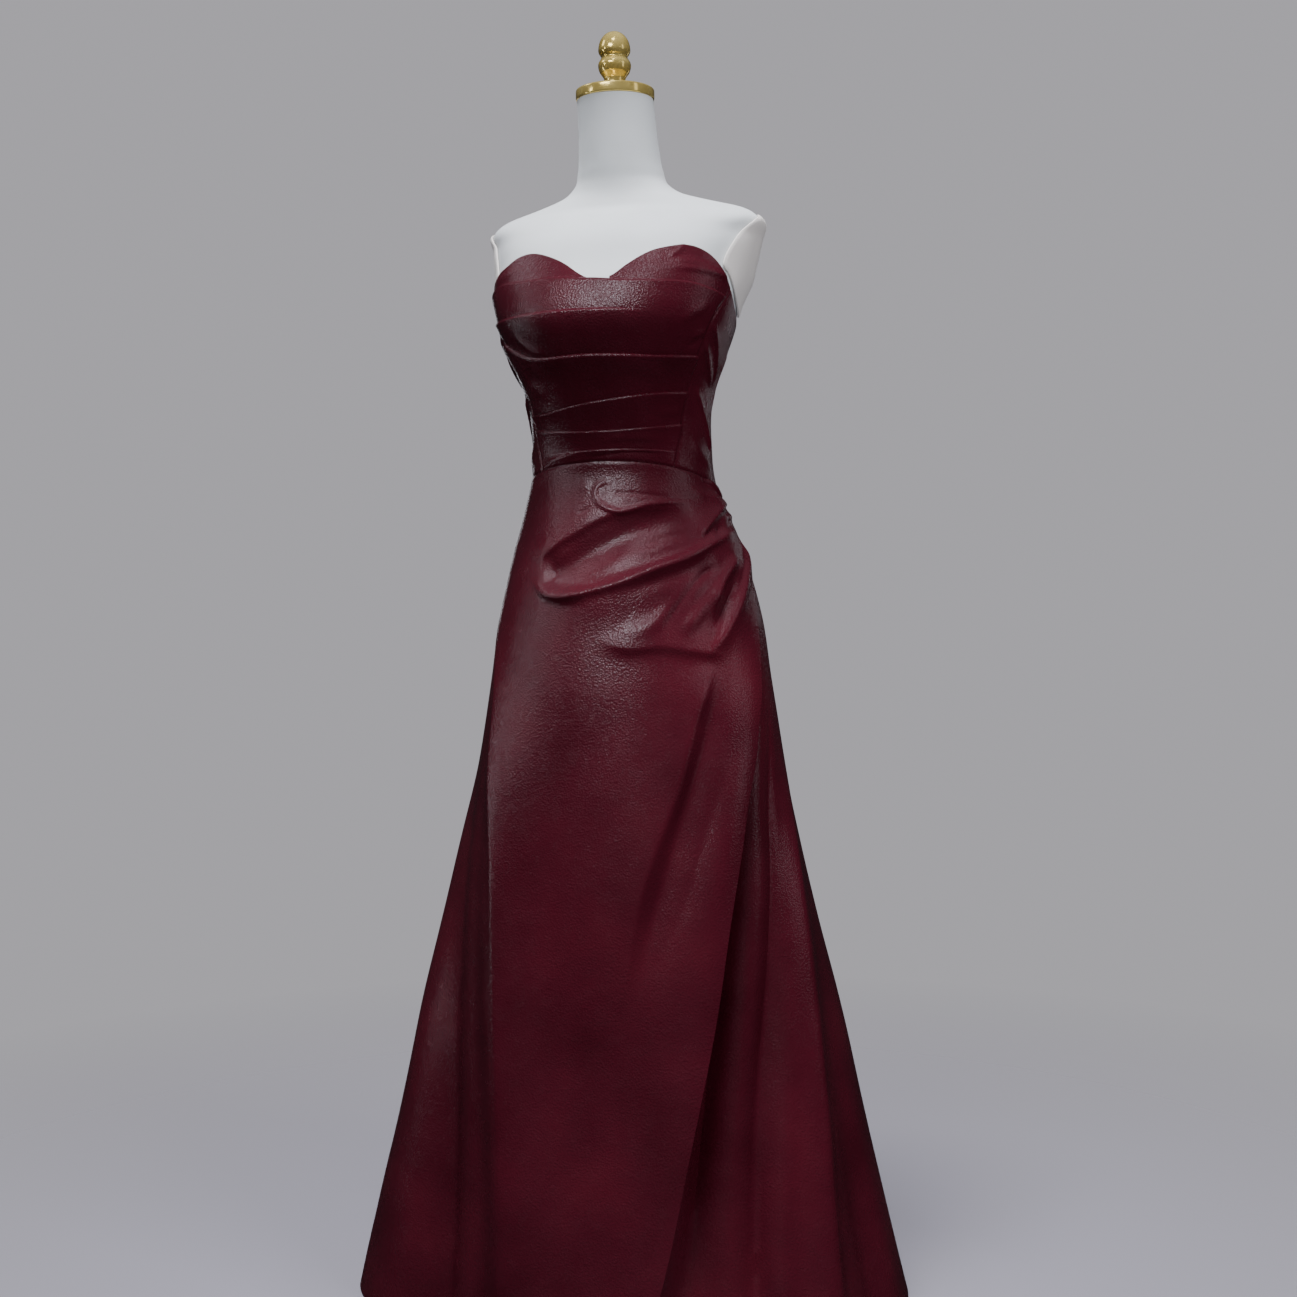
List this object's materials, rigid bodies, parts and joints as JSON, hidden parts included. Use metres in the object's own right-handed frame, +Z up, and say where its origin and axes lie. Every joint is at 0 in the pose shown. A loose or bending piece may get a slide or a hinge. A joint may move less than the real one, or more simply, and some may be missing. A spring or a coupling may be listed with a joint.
{
  "type": "strapless leather gown on dress form",
  "caption": "Floor-length strapless gown in burgundy leather, tucked bodice and draped A-line skirt, standing on a limbless dress form.",
  "frame": {"origin": "centre of the round base's underside, on the pole's axis, at floor level", "axes": "+Z up, -Y towards the gown's front, +X towards the wearer's left"},
  "size_m": [0.7159, 0.6678, 1.6303],
  "materials": {
    "burgundy_leather": "semi-gloss, fine pebbled grain",
    "form_jersey": "white jersey drawn tight, matte",
    "polished_gold": "polished",
    "satin_steel": "satin"
  },
  "bodies": {
    "root": {"bodice_front": "burgundy_leather", "bodice_cup_left": "burgundy_leather", "bodice_cup_right": "burgundy_leather", "bodice_side_left": "burgundy_leather", "bodice_side_right": "burgundy_leather", "bodice_back_left": "burgundy_leather", "bodice_back_right": "burgundy_leather", "skirt_front_drape": "burgundy_leather", "skirt_gore_left_front": "burgundy_leather", "skirt_gore_left_back": "burgundy_leather", "skirt_gore_right_side": "burgundy_leather", "skirt_gore_right_back": "burgundy_leather", "form_torso": "form_jersey", "form_arm_plate_left": "form_jersey", "form_arm_plate_right": "form_jersey", "form_neck_cap": "polished_gold", "form_finial": "polished_gold", "form_collar": "satin_steel", "form_pole": "satin_steel", "form_hub": "satin_steel", "form_base": "satin_steel"}
  },
  "joints": []
}
